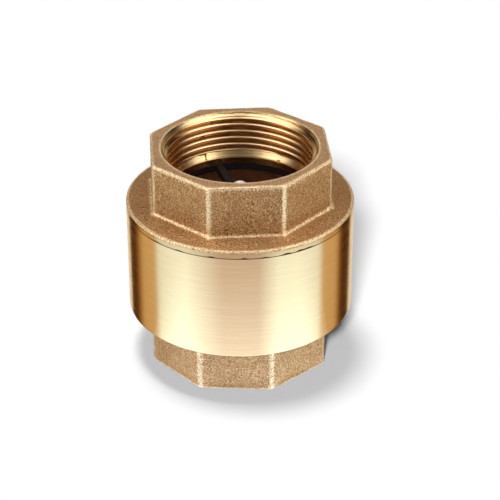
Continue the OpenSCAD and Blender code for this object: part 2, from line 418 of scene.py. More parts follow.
def thread_depth(settings, phase):
    """Depth below the crest, in millimetres, at a place within one pitch of the rounded 55-degree form."""
    pitch, depth, round_r = settings.pitch / MM, settings.depth / MM, settings.rounding / MM
    off = np.minimum(phase, 1 - phase) * pitch
    flank = math.radians(27.5)
    lip = round_r * math.cos(flank)
    start = round_r - round_r * math.sin(flank)
    slope = (depth - 2 * start) / (pitch / 2 - 2 * lip)
    crest = round_r - np.sqrt(np.maximum(round_r**2 - np.minimum(off, lip) ** 2, 0))
    root = depth - round_r + np.sqrt(np.maximum(round_r**2 - np.minimum(pitch / 2 - off, lip) ** 2, 0))
    return np.where(off < lip, crest, np.where(off > pitch / 2 - lip, root, start + slope * (off - lip)))


def thread_step(settings, share):
    """Place within half a pitch of one mesh row; rows lie closer together on crest and root."""
    lip = settings.rounding * math.cos(math.radians(27.5)) / settings.pitch
    return float(np.interp(share, [0, 0.4, 0.6, 1], [0, lip, 0.5 - lip, 0.5]))


class Grid:
    """Rows of points round the axis, each with its finish, direction of casting skin, and a value for rubbing and
    painted light: pale painted highlights where high, painted shade where below zero.
    """

    def __init__(self, turn=0.0):
        self.local = sector_angles()
        self.angles = self.local + turn
        self.points, self.faces, self.finish, self.wear, self.lift = [], [], [], [], []
        self.rows = []

    def row(self, radius, z, finish, wear=0.0, skin=None):
        """One closed row; finish is that of the band from this row to the next."""
        count = len(self.angles)
        radius = np.broadcast_to(np.asarray(radius, float), (count,))
        z = np.broadcast_to(np.asarray(z, float), (count,))
        first = len(self.points)
        self.points += list(zip(radius * np.cos(self.angles), radius * np.sin(self.angles), z))
        self.wear += list(np.broadcast_to(np.asarray(wear, float), (count,)))
        up, out = (0.0, 0.0) if skin is None else skin
        self.lift += [(out * math.cos(a), out * math.sin(a), up) for a in self.angles]
        self.rows.append((first, finish))

    def line(self, a, b, steps, finish, wear=0.0, skin=None, last=False):
        """Rows on the straight line from a to b, each a pair of radius and height."""
        for k in range(steps + (1 if last else 0)):
            s = k / steps
            self.row(np.asarray(a[0]) * (1 - s) + np.asarray(b[0]) * s, a[1] * (1 - s) + b[1] * s,
                     finish, wear, skin)

    def join_rows(self, close=False):
        """Faces between each row and the next."""
        count = len(self.angles)
        pairs = list(zip(self.rows, self.rows[1:]))
        if close:
            pairs.append((self.rows[-1], self.rows[0]))
        for (a, finish), (b, _) in pairs:
            for i in range(count):
                j = (i + 1) % count
                self.faces.append((a + i, a + j, b + j, b + i))
                self.finish.append(finish)

    def thread(self, low, high, mouth_up, settings, steps, nicks=()):
        """An internal pipe thread between two levels, cut by the chamfer at its mouth."""
        pitch, count = settings.pitch / MM, len(self.angles)
        half = [thread_step(settings, k / steps) for k in range(steps + 1)]
        phases = half[:-1] + [1 - phase for phase in half[:0:-1]]
        per = len(phases)
        total = int(round(per * ((high - low) / pitch + 1))) + 1
        first = len(self.points)
        mouth, inner = (high, low) if mouth_up else (low, high)
        turn = (self.local - self.local[0]) / (2 * math.pi)
        finishes = []
        for k in range(total):
            z = np.clip(low - pitch + pitch * (k // per + phases[k % per] + turn), low, high)
            groove = thread_depth(settings, ((z - low) / pitch - turn) % 1.0)
            gap = np.abs(z - inner)
            cone = RUNOUT_R + np.clip((gap - 0.93) * 0.51, 0, 1.05)
            share = np.clip((gap - 2.98) / (0.35 * pitch), 0, 1)
            radius = cone * (1 - share) + (CREST_R + groove) * share
            for angle, level, tall, deep in nicks:
                at = np.argmin(np.abs(self.angles % (2 * math.pi) - math.radians(angle)))
                radius[at] += deep * math.exp(-((z[at] - level) / tall) ** 2)
            chamfer = MOUTH_R - np.abs(mouth - z)
            if mouth_up:
                wander = 0.05 * np.sin(self.angles * 23) + 0.03 * np.sin(self.angles * 57)
                rear = np.clip(1.8 - np.abs((self.angles - math.radians(83)) / 0.7), 0, 1)
                chamfer = chamfer + 0.4 * rear * np.exp(-((z - HEIGHT + 0.42 + wander) / 0.17) ** 2)
                chamfer = chamfer + 0.05 * np.sin(z * 2 * math.pi / 0.62)
            shown = np.maximum(radius, chamfer)
            self.points += list(zip(shown * np.cos(self.angles), shown * np.sin(self.angles), z))
            # Crest height feeds the painted light: low in the roots for painted shade, high on the crests for a
            # painted highlight.
            self.wear += list(np.where(share > 0.5, 1 - groove / (settings.depth / MM), np.where(gap > 0.93, 0.6, 0.12)))
            self.lift += [(0.0, 0.0, 0.0)] * count
            finishes.append(np.where((chamfer > radius) | ((gap < 2.9) & (gap > 0.93)), MOUTH, THREAD))
        for k in range(total - 1):
            for i in range(count):
                shift = 0 if i + 1 < count else per
                j = (i + 1) % count
                if k + shift + 1 < total:
                    a, b = first + k * count, first + (k + shift) * count
                    self.faces.append((a + i, b + j, b + count + j, a + count + i))
                    self.finish.append(int(finishes[k][i]))

    def build(self, name, materials, skin, body, node):
        """Makes the object, lifts its casting skin, and gives it to its CAD body."""
        points = np.array(self.points)
        lift = np.array(self.lift)
        for index in np.nonzero(np.abs(lift).sum(1))[0]:
            x, y, z = points[index]
            broad = noise.noise(Vector((x, y, z)) * 0.33)
            close = noise.noise(Vector((x, y, z)) * 1.25 + Vector((7, 3, 5)))
            points[index] += lift[index] * skin * (1.6 * broad + 1.1 * close - 1.0)
            points[index][2] = min(points[index][2], HEIGHT)
        mesh = bpy.data.meshes.new(name)
        mesh.from_pydata((points * MM).tolist(), [], self.faces)
        for material in materials:
            mesh.materials.append(material)
        mesh.polygons.foreach_set("material_index", self.finish)
        # This attribute holds rubbing on edges together with painted highlights and painted shade.
        mesh.attributes.new("wear", "FLOAT", "POINT").data.foreach_set("value", self.wear)
        return settle(name, mesh, body, [node], 1e-8)


def settle(name, mesh, body, nodes, merge=0.0, sharp=35):
    """Cleans a mesh, smooths it between its sharp edges, and makes it ride on its CAD body."""
    shell = bmesh.new()
    shell.from_mesh(mesh)
    if merge:
        bmesh.ops.remove_doubles(shell, verts=shell.verts, dist=merge)
        bmesh.ops.dissolve_degenerate(shell, edges=shell.edges, dist=1e-9)
    bmesh.ops.recalc_face_normals(shell, faces=shell.faces)
    shell.to_mesh(mesh)
    shell.free()
    mesh.polygons.foreach_set("use_smooth", [True] * len(mesh.polygons))
    mesh.set_sharp_from_angle(angle=math.radians(sharp))
    piece = bpy.data.objects.new(name, mesh)
    bpy.context.scene.collection.objects.link(piece)
    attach(piece, body)
    if nodes:
        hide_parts(*nodes)
    return piece


def rounded(points, arc=5):
    """A closed section whose corners are rounded; each point is radius, height and corner radius."""
    section = []
    count = len(points)
    for index, (r, z, corner) in enumerate(points):
        here = Vector((r, z))
        back = Vector(points[index - 1][:2]) - here
        ahead = Vector(points[(index + 1) % count][:2]) - here
        if corner <= 0:
            section.append((r, z))
            continue
        turn = back.angle(ahead)
        reach = min(corner / math.tan(turn / 2), back.length * 0.49, ahead.length * 0.49)
        radius = reach * math.tan(turn / 2)
        middle = here + (back.normalized() + ahead.normalized()).normalized() * (radius / math.sin(turn / 2))
        start = here + back.normalized() * reach - middle
        end = here + ahead.normalized() * reach - middle
        sweep = start.angle_signed(end) if start.length and end.length else 0
        for k in range(arc + 1):
            spin = -sweep * k / arc
            x = start.x * math.cos(spin) - start.y * math.sin(spin)
            y = start.x * math.sin(spin) + start.y * math.cos(spin)
            section.append((middle.x + x, middle.y + y))
    return section


def lathe_mesh(name, section, steps=128):
    """A closed mesh of revolution from a closed section; points on the axis become poles."""
    points, faces, rings = [], [], []
    for r, z in section:
        if r < 1e-6:
            rings.append([len(points)] * steps)
            points.append((0, 0, z * MM))
        else:
            rings.append(list(range(len(points), len(points) + steps)))
            points += [(r * MM * math.cos(2 * math.pi * i / steps), r * MM * math.sin(2 * math.pi * i / steps),
                        z * MM) for i in range(steps)]
    for a, b in zip(rings, rings[1:] + rings[:1]):
        for i in range(steps):
            j = (i + 1) % steps
            corners = list(dict.fromkeys((a[i], a[j], b[j], b[i])))
            if len(corners) > 2:
                faces.append(corners)
    mesh = bpy.data.meshes.new(name)
    mesh.from_pydata(points, [], faces)
    return mesh


def turned_piece(name, section, material, body, nodes, steps=128):
    """A revolved piece with one finish."""
    mesh = lathe_mesh(name, section, steps)
    mesh.materials.append(material)
    return settle(name, mesh, body, nodes)


# pieces


class VALVE_OT_body(Operator):
    """Body casting with its octagon inlet, turned cylinder, seat and inlet thread"""

    bl_idname = "valve.body"
    bl_label = "Body"

    def execute(self, context):
        brass, threads = context.scene.valve_brass, context.scene.valve_threads
        grid = Grid(INLET_TURN)
        rubbed_and_highlit = corner_wear(grid.local, 18.4, 3.2, 0.68)
        skin = brass.skin / MM
        side = (0.0, 1.0)
        grid.line((MOUTH_R, 0), (MOUTH_R + 0.5, 0), 1, FACE, 0.3)
        grid.line((MOUTH_R + 0.5, 0), (octagon(grid.local, -0.5), 0), 6, FACE, 0.15)
        for k in range(5):
            a = math.radians(90 * k / 4)
            grid.row(octagon(grid.local, -0.5 + 0.5 * math.sin(a)), 0.5 - 0.5 * math.cos(a),
                     CAST if k else FACE, 0.9)
        base = INLET_END - SLOPE
        fillet = 1.0
        grid.line((octagon(grid.local), 0.9), (octagon(grid.local), base - fillet), 34, CAST,
                  rubbed_and_highlit, side)
        # The fillet at the octagon's foot gets at least 0.25, a painted highlight along the fillet.
        for k in range(6):
            a = math.radians(90 * k / 5)
            grid.row(octagon(grid.local, fillet * (1 - math.cos(a))), base - fillet * (1 - math.sin(a)),
                     CAST, np.maximum(rubbed_and_highlit, 0.25), (0.0, math.cos(a)))
        start = octagon(grid.local, fillet)
        end = BODY_R - 0.45
        grid.line((start + (end - start) / 12, base + SLOPE / 12), (end, INLET_END), 11, CAST, 0.1,
                  (-1.0, 0.0))
        for k in range(5):
            a = math.radians(90 * k / 4)
            grid.row(BODY_R - 0.45 * (1 - math.sin(a)), INLET_END + 0.45 * (1 - math.cos(a)), TURNED)
        grid.line((BODY_R, INLET_END + 0.8), (BODY_R, JOINT - 0.13), 12, TURNED, last=True)
        grid.line((BODY_R, JOINT - 0.13), (BODY_R - 0.7, JOINT), 1, INSIDE)
        grid.line((BODY_R - 0.7, JOINT), (32.4, JOINT), 3, TURNED)
        grid.line((32.4, JOINT), (32.0, JOINT - 0.4), 1, TURNED)
        grid.line((32.0, JOINT - 0.4), (32.0, SKIRT - 0.5), 3, TURNED)
        grid.line((32.0, SKIRT - 0.5), (30.0, SKIRT - 2.5), 2, INSIDE)
        grid.line((30.0, SKIRT - 2.5), (30.0, SEAT + 1.5), 12, INSIDE)
        for k in range(5):
            a = math.radians(90 * k / 4)
            grid.row(27.0 + 3.0 * math.cos(a), SEAT + 1.5 - 3.0 * math.sin(a), INSIDE)
        grid.line((26.0, SEAT - 1.5), (21.6, SEAT - 1.5), 4, INSIDE)
        grid.line((21.0, SEAT - 1.5), (20.5, SEAT - 0.2), 2, TURNED)
        grid.line((20.3, SEAT), (18.7, SEAT), 2, TURNED)
        grid.line((18.5, SEAT - 0.2), (18.5, 18.8), 3, TURNED)
        grid.line((18.8, 18.48), (RUNOUT_R - 0.2, 18.48), 4, TURNED)
        grid.line((RUNOUT_R, 18.3), (RUNOUT_R, 17.0), 2, THREAD, 0.2, last=True)
        grid.join_rows()
        grid.thread(0.0, 17.0, False, threads, 5)
        # The chamber material carries the painted shade of the hollow inside the body and cap.
        materials = [cast_brass(brass, "body_cast_brass", brass.body_cast_colour, 0.8), turned_brass(brass),
                     turned_brass(brass, "inlet_thread_brass", brass.thread_colour, (0.17, 0.23), True),
                     machined_face(brass), cast_brass(brass, "chamber_shade_brass", brass.inside_shade_colour, 0.12),
                     turned_brass(brass, "mouth_brass", brass.mouth_colour, (0.20, 0.28),
                                  lines=(0.62, 0.46, 0.30))]
        grid.build("valve_body_casting", materials, skin, "housing", "valve_body")
        return {"FINISHED"}


class VALVE_OT_cap(Operator):
    """End cap casting with its octagon outlet, shoulder, rim, skirt and outlet thread"""

    bl_idname = "valve.cap"
    bl_label = "End cap"

    def execute(self, context):
        brass, threads = context.scene.valve_brass, context.scene.valve_threads
        grid = Grid(OUTLET_TURN)
        rubbed_and_highlit = corner_wear(grid.local)
        # front is 1 on the camera side and 0 at the sides and back; the flats away from the front and the corners
        # get a small negative value, painted shade on those sides.
        front = np.clip(-np.sin(grid.angles), 0, 1) ** 3
        shade = np.where(front > 0.75, rubbed_and_highlit, np.where(rubbed_and_highlit > 0.05, rubbed_and_highlit, -0.09))
        skin = brass.skin / MM
        side = (0.0, 1.0)
        grid.line((MOUTH_R, HEIGHT), (MOUTH_R + 0.9, HEIGHT), 2, FACE, 0.8)
        # Towards the outer edge the faced ring grows paler, more so on the front: a painted highlight on the camera
        # side.
        for k in range(8):
            grid.row((MOUTH_R + 1.1) * (1 - k / 8) + octagon(grid.local, -0.7) * k / 8, HEIGHT, FACE,
                     0.1 + (0.55 + 0.7 * front) * max(0.0, k / 8 - 0.4))
        # The rounded top edge and the band just below it are pale: partly rubbing, partly a painted highlight along
        # the edge.
        for k in range(6):
            a = math.radians(90 * k / 5)
            grid.row(octagon(grid.local, -0.7 + 0.7 * math.sin(a)), HEIGHT - 0.7 * (1 - math.cos(a)),
                     CAST, 0.82 + 0.25 * rubbed_and_highlit, (math.cos(a) * 0.3, math.sin(a)))
        fillet = 0.9
        for k in range(5):
            grid.row(octagon(grid.local), HEIGHT - 0.9 - 0.35 * k, CAST,
                     np.maximum(shade, 0.62 - 0.14 * k), side)
        grid.line((octagon(grid.local), HEIGHT - 2.7), (octagon(grid.local), SHOULDER + fillet), 30,
                  CAST, shade, side)
        # A band that peaks mid-fillet at the octagon's foot: a painted highlight, over the corners' rubbing.
        for k in range(6):
            a = math.radians(90 * k / 5)
            grid.row(octagon(grid.local, fillet * (1 - math.cos(a))), SHOULDER + fillet * (1 - math.sin(a)),
                     CAST, np.maximum(rubbed_and_highlit, 0.35 + 0.5 * math.sin(2 * a)), (math.sin(a), math.cos(a)))
        start = octagon(grid.local, fillet)
        end = BODY_R - 0.7
        # The shoulder is paler on the front, a painted highlight, and darker at the sides and back, a painted shade.
        grid.line((start + (end - start) / 14, SHOULDER - SLOPE / 14), (end, SHOULDER - SLOPE), 13, CAST,
                  0.42 * front - 0.24 * np.clip(1 - front / 0.2, 0, 1), (1.0, 0.0))
        rim = SHOULDER - SLOPE
        # The rounded outer edge of the shoulder is pale: a painted highlight along the edge.
        for k in range(6):
            a = math.radians(90 * k / 5)
            grid.row(end + 0.7 * math.sin(a), rim - 0.7 * (1 - math.cos(a)), CAST, 0.8,
                     (math.cos(a) * 0.6, 0.0))
        grid.line((BODY_R, rim - 0.9), (BODY_R, JOINT + 0.5), 4, TURNED, last=True)
        chips = sum(high * np.exp(-(((np.degrees(grid.angles) + 180) % 360 - 180 - at) / wide) ** 2)
                    for at, wide, high in JOINT_CHIPS)
        grid.row(BODY_R, JOINT + 0.12 + chips, INSIDE)
        grid.line((BODY_R - 0.75, JOINT), (31.95, JOINT), 3, TURNED)
        grid.line((31.95, JOINT - 0.01), (31.95, JOINT - 0.4), 1, TURNED)
        grid.line((30.2, JOINT - 0.4), (30.2, JOINT - 2.6), 2, TURNED, last=True)
        grid.line((31.95, JOINT - 2.6), (31.95, SKIRT + 0.6), 3, TURNED, last=True)
        grid.line((31.35, SKIRT), (28.2, SKIRT), 2, TURNED)
        grid.line((27.95, SKIRT + 0.3), (27.95, 49.1), 3, INSIDE)
        grid.line((27.95, 49.1), (GUIDE_BORE_R + 0.4, 51.2), 3, INSIDE)
        grid.line((GUIDE_BORE_R, 51.6), (GUIDE_BORE_R, GUIDE_FACE + 0.1), 2, INSIDE)
        grid.line((GUIDE_BORE_R, GUIDE_FACE + 0.1), (RUNOUT_R + 0.3, GUIDE_FACE + 0.1), 2, INSIDE)
        grid.line((RUNOUT_R, GUIDE_FACE + 0.3), (RUNOUT_R, THREAD_END), 3, THREAD, 0.12, last=True)
        grid.join_rows()
        nicks = ((112.5, 69.4, 0.3, 0.8), (120, 67.2, 0.3, 0.8), (119.5, 64.6, 0.3, 0.8), (119, 57.6, 0.7, 0.9),
                 (56.5, 56.6, 0.3, 0.6), (83, 71.1, 0.2, 0.5))
        grid.thread(THREAD_END, HEIGHT, True, threads, 8, nicks)
        rim_colour = [c * f for c, f in zip(brass.turned_colour, (0.84, 0.80, 0.74))]
        materials = [cast_brass(brass, "cap_cast_brass", brass.cast_colour),
                     turned_brass(brass, "rim_brass", rim_colour),
                     turned_brass(brass, "outlet_thread_brass", brass.thread_colour, (0.17, 0.23), True),
                     bpy.data.materials["machined_face"], bpy.data.materials["chamber_shade_brass"],
                     bpy.data.materials["mouth_brass"]]
        grid.build("end_cap_casting", materials, skin, "housing", "end_cap")
        return {"FINISHED"}


class VALVE_OT_seals(Operator):
    """O-ring under the cap's rim, and the seal ring on the plunger"""

    bl_idname = "valve.seals"
    bl_label = "Seals"

    def execute(self, context):
        colour = context.scene.valve_moulded.rubber_colour
        rubber = moulded("nitrile_rubber", colour, 0.5, 0.3, 1.52, 1400)
        middle, level = 31.1, JOINT - 1.5
        ring = []
        for k in range(24):
            a = 2 * math.pi * k / 24
            ring.append((middle + max(-0.9, min(0.9, math.cos(a))), level + math.sin(a)))
        turned_piece("o_ring", ring, rubber, "housing", ["body_o_ring"], 160)
        section = rounded([(13, SEAT, 0.1), (22.1, SEAT, 0.35), (22.1, DISC, 0.2), (13, DISC, 0.1)])
        turned_piece("seal_ring", section, rubber, "check_plunger", ["seat_seal"], 160)
        return {"FINISHED"}


class VALVE_OT_guide(Operator):
    """Moulded guide with its ring, four arms, spring flange and hub"""

    bl_idname = "valve.guide"
    bl_label = "Guide"

    def execute(self, context):
        colour = context.scene.valve_moulded.guide_colour
        low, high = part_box("guide_spider")[0].z / MM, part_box("guide_spider")[1].z / MM
        ring_low = GUIDE_FACE - 2.5 + 0.1
        parts = [
            lathe_mesh("ring", rounded([(CREST_R, ring_low, 0.3), (25.0, ring_low, 0.3),
                                        (25.0, GUIDE_FACE + 0.08, 0.2), (CREST_R, GUIDE_FACE + 0.08, 0.3)], 3), 144),
            lathe_mesh("hub", rounded([
                (3.56, low, 0.15), (6.0, low, 0.3), (6.0, low + 4.6, 0.3), (8.2, low + 4.8, 0.2),
                (8.2, low + 6.0, 0.15), (11.0, low + 6.0, 0.3), (11.0, low + 7.98, 0.4), (6.0, low + 8.0, 0.8),
                (6.0, high - 0.5, 0.2), (5.5, high, 0.2), (3.56, high, 0.3)], 3), 96),
        ]
        merged = bmesh.new()
        for part in parts:
            merged.from_mesh(part)
        bmesh.ops.recalc_face_normals(merged, faces=merged.faces)
        mesh = bpy.data.meshes.new("guide")
        merged.to_mesh(mesh)
        merged.free()
        for part in parts:
            bpy.data.meshes.remove(part)
        mesh.materials.append(moulded("guide_plastic", colour, 0.6, 0.3, 1.33, 700))
        guide = settle("guide", mesh, "housing", ["guide_spider"])
        for k in range(4):
            arm = bmesh.new()
            bmesh.ops.create_cube(arm, size=1.0)
            length, width, tall = 18.0, 2.6, 2.5
            bmesh.ops.scale(arm, vec=(length, width, tall), verts=arm.verts)
            bmesh.ops.bevel(arm, geom=[e for e in arm.edges if abs(e.verts[0].co.x - e.verts[1].co.x) > 1],
                            offset=0.4, segments=3, profile=0.5, affect="EDGES")
            bmesh.ops.translate(arm, vec=(5.0 + length / 2, 0, ring_low + tall / 2), verts=arm.verts)
            bmesh.ops.rotate(arm, cent=(0, 0, 0), matrix=Matrix.Rotation(math.radians(17 + 90 * k), 3, "Z"),
                             verts=arm.verts)
            bmesh.ops.scale(arm, vec=(MM, MM, MM), verts=arm.verts)
            tool_mesh = bpy.data.meshes.new("arm")
            arm.to_mesh(tool_mesh)
            arm.free()
            tool = bpy.data.objects.new("arm", tool_mesh)
            bpy.context.scene.collection.objects.link(tool)
            joint = guide.modifiers.new("arm", "BOOLEAN")
            joint.operation, joint.solver, joint.object = "UNION", "EXACT", tool
            graph = context.evaluated_depsgraph_get()
            result = bpy.data.meshes.new_from_object(guide.evaluated_get(graph))
            guide.modifiers.clear()
            guide.data = result
            bpy.data.objects.remove(tool)
        result.polygons.foreach_set("use_smooth", [True] * len(result.polygons))
        result.set_sharp_from_angle(angle=math.radians(30))
        return {"FINISHED"}


class VALVE_OT_plunger(Operator):
    """Moulded plunger with its disc, stop boss and domed stem"""

    bl_idname = "valve.plunger"
    bl_label = "Plunger"

    def execute(self, context):
        colour = context.scene.valve_moulded.plunger_colour
        tip = top_of("plunger")
        top = DISC + 3.5
        dome = [(3.5 * math.cos(math.radians(a)), tip - 4.8 + 4.8 * math.sin(math.radians(a)))
                for a in range(0, 90, 9)]
        section = rounded([
            (2.0, DISC, 0), (23.5, DISC, 0.4), (23.5, top - 1.2, 0.3), (22.3, top, 0.5), (8.2, top, 0.4),
            (8.2, top + 1.1, 0.2), (7.9, top + 1.4, 0.2), (5.5, top + 1.4, 0.3), (5.5, 33.97, 0.3),
            (3.5, 33.97, 0.4)], 4) + dome + [(0.0, tip), (0.0, top + 2.0), (2.0, top + 2.0)]
        nylon = moulded("plunger_nylon", colour, 0.38, 0.08, 1.53, 600)
        turned_piece("plunger_moulding", section, nylon, "check_plunger", ["plunger"], 160)
        return {"FINISHED"}


class VALVE_OT_fixings(Operator):
    """Plate that clamps the seal, with its screw and washer"""

    bl_idname = "valve.fixings"
    bl_label = "Plate, screw and washer"

    def execute(self, context):
        brass, colour = context.scene.valve_brass, context.scene.valve_moulded.steel_colour
        steel = drawn_steel(colour, "screw_steel")
        low = SEAT - 2.0
        section = rounded([(2.0, low, 0), (16.3, low, 0.5), (16.3, SEAT, 0.1), (13.0, SEAT, 0), (13.0, DISC, 0),
                           (2.0, DISC, 0)], 4)
        turned_piece("clamp_plate", section, turned_brass(brass, "plate_brass"), "check_plunger",
                     ["seal_plate"], 144)
        washer = rounded([(2.05, low - 0.9, 0.1), (3.6, low - 0.9, 0.2), (3.6, low, 0.1), (2.05, low, 0.1)], 3)
        turned_piece("washer", washer, steel, "check_plunger", ["lock_washer"], 64)
        head = low - 0.9
        steps = 96
        angles = [2 * math.pi * i / steps for i in range(steps)]
        sixth = math.radians(60)
        hexagon = [1.5 / math.cos((a + sixth / 2) % sixth - sixth / 2) for a in angles]
        rows = [([0.0001] * steps, head - 0.9), (hexagon, head - 0.9), (hexagon, head - 2.25),
                ([h + 0.15 for h in hexagon], head - 2.4), ([2.75] * steps, head - 2.4),
                ([3.05] * steps, head - 2.25), ([3.4] * steps, head - 1.8), ([3.5] * steps, head - 1.6),
                ([3.5] * steps, head - 0.15), ([3.35] * steps, head), ([2.0] * steps, head),
                ([2.0] * steps, DISC + 5.2), ([1.6] * steps, DISC + 5.5), ([0.0001] * steps, DISC + 5.5)]
        points = [(r * MM * math.cos(a), r * MM * math.sin(a), z * MM)
                  for radii, z in rows for r, a in zip(radii, angles)]
        faces = [(k * steps + i, k * steps + (i + 1) % steps, (k + 1) * steps + (i + 1) % steps,
                  (k + 1) * steps + i) for k in range(len(rows) - 1) for i in range(steps)]
        mesh = bpy.data.meshes.new("clamp_screw")
        mesh.from_pydata(points, [], faces)
        mesh.materials.append(steel)
        settle("clamp_screw", mesh, "check_plunger", ["plunger_screw"], 1e-6)
        return {"FINISHED"}


class VALVE_OT_spring(Operator):
    """Return spring, a round wire with closed and ground ends"""

    bl_idname = "valve.spring"
    bl_label = "Spring"

    def execute(self, context):
        low, high = bottom_of("spring"), top_of("spring")
        wire, coil, closed, free = 0.6, 9.0, 1.25, 4
        turns, steps, sides = free + 2, 48, 14
        rise = (high - low - 2 * closed) / free
        points, faces = [], []
        count = turns * steps
        for i in range(count + 1):
            t = i / steps
            ease = min(1.0, max(0.0, t - 0.75) * 2) * min(1.0, max(0.0, turns - 0.75 - t) * 2)
            if t < 1:
                z = low + closed * t
            elif t > turns - 1:
                z = high - closed * (turns - t)
            else:
                z = low + closed + rise * (t - 1)
            z += 0.05 * (1 - ease)* 0
            a = 2 * math.pi * t
            for j in range(sides):
                b = 2 * math.pi * j / sides
                r = coil + wire * math.cos(b)
                height = min(high, max(low, z + wire * math.sin(b)))
                points.append((r * MM * math.cos(a), r * MM * math.sin(a), height * MM))
        for i in range(count):
            for j in range(sides):
                k = (j + 1) % sides
                faces.append((i * sides + j, (i + 1) * sides + j, (i + 1) * sides + k, i * sides + k))
        faces.append(tuple(range(sides)))
        faces.append(tuple(count * sides + j for j in reversed(range(sides))))
        mesh = bpy.data.meshes.new("coil_spring")
        mesh.from_pydata(points, [], faces)
        mesh.materials.append(drawn_steel(context.scene.valve_moulded.steel_colour, "spring_wire"))
        spring = settle("coil_spring", mesh, "housing", ["spring"])
        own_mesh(spring)
        return {"FINISHED"}


# stage


def reflector(name, points, faces, tones, through=False):
    """A glowing sheet that only gloss sees; with through, what lies behind it is added."""
    mesh = bpy.data.meshes.new(name)
    mesh.from_pydata([tuple(point) for point in points], [], faces)
    shades = np.ones((len(points), 4))
    shades[:, :3] = tones
    mesh.attributes.new("tone", "FLOAT_COLOR", "POINT").data.foreach_set("color", shades.ravel())
    material, tree, out = new_material(name)
    tone = add(tree, "Attribute", attribute_name="tone").outputs["Color"]
    first = maths(tree, "LESS_THAN", add(tree, "LightPath").outputs["Diffuse Depth"], 0.5)
    shader = add(tree, "Emission", {"Color": tone, "Strength": first})
    if through:
        clear = add(tree, "BsdfTransparent")
        shader = add(tree, "AddShader", {0: shader.outputs[0], 1: clear.outputs[0]})
    tree.links.new(shader.outputs[0], out.inputs[0])
    mesh.materials.append(material)
    sheet = bpy.data.objects.new(name, mesh)
    bpy.context.scene.collection.objects.link(sheet)
    sheet.visible_camera = sheet.visible_diffuse = False
    sheet.visible_shadow = sheet.visible_transmission = False
    return sheet


def blend_stops(places, stops):
    """The colours at some places, blended between stops of place and colour."""
    at = [place for place, _ in stops]
    return np.array([np.interp(places, at, [colour[c] for _, colour in stops]) for c in range(3)]).T


def strip_faces(columns, rows=2):
    """Faces of a sheet whose points are listed column by column."""
    return [(c * rows + r, (c + 1) * rows + r, (c + 1) * rows + r + 1, c * rows + r + 1)
            for c in range(columns - 1) for r in range(rows - 1)]


def seen_directly(tree):
    """1 for camera, glossy and transmission rays, which see the white background."""
    path = add(tree, "LightPath")
    seen = maths(tree, "MAXIMUM", path.outputs["Is Camera Ray"], path.outputs["Is Glossy Ray"])
    seen = maths(tree, "MAXIMUM", seen, path.outputs["Is Transmission Ray"])
    return maths(tree, "MULTIPLY", seen, maths(tree, "LESS_THAN", path.outputs["Diffuse Depth"], 0.5))


def wall(name, stops, low, high, radius=0.6):
    """A round reflector wall; each stop is an angle from the camera's side and a colour."""
    angles = np.unique(np.concatenate([np.arange(-180, 181, 4.0), [angle for angle, _ in stops]]))
    turn = np.radians(angles - 90)
    points = np.repeat(np.stack([radius * np.cos(turn), radius * np.sin(turn), 0 * turn], 1), 2, 0)
    points[0::2, 2], points[1::2, 2] = low, high
    return reflector(name, points, strip_faces(len(angles)), np.repeat(blend_stops(angles, stops), 2, 0))


def dome(name, colour, rings, radius=0.75, centre=0.05):
    """A reflector dome; each ring is an elevation and its brightness at angles from the camera's side."""
    angles = np.arange(-180, 181, 6.0)
    turn = np.radians(angles - 90)
    points, tones = [], []
    for elevation, stops in rings:
        lift = math.radians(elevation)
        level = np.interp(np.abs(angles), [angle for angle, _ in stops], [bright for _, bright in stops])
        points.append(np.stack([radius * math.cos(lift) * np.cos(turn), radius * math.cos(lift) * np.sin(turn),
                                0 * turn + centre + radius * math.sin(lift)], 1))
        tones.append(level[:, None] * np.array(colour))
    count = len(rings)
    points = np.stack(points, 1).reshape(-1, 3)
    return reflector(name, points, strip_faces(len(angles), count), np.stack(tones, 1).reshape(-1, 3))


def floor_sheen(name, rings, spread, colour):
    """Light that the floor in front throws up at low gloss; each ring is a radius and a strength."""
    angles = np.arange(-spread, spread + 1, 5.0)
    points, tones = [], []
    for angle in angles:
        side = min(1.0, (spread - abs(angle)) / 25)
        turn = math.radians(angle - 90)
        for radius, strength in rings:
            points.append((radius * math.cos(turn), radius * math.sin(turn), -0.0005))
            tones.append([c * strength * side for c in colour])
    return reflector(name, points, strip_faces(len(angles), len(rings)), np.array(tones), True)


def soft_light(name, azimuth, elevation, spread, strength):
    """A soft light from afar; azimuth is measured from the camera's side, positive to the right."""
    light = bpy.data.lights.new(name, "SUN")
    light.angle, light.energy = math.radians(spread), strength
    holder = bpy.data.objects.new(name, light)
    bpy.context.scene.collection.objects.link(holder)
    turn, lift = math.radians(azimuth - 90), math.radians(elevation)
    towards = Vector((math.cos(turn) * math.cos(lift), math.sin(turn) * math.cos(lift), math.sin(lift)))
    holder.rotation_euler = towards.to_track_quat("Z", "Y").to_euler()
    holder.visible_glossy = False
    return holder


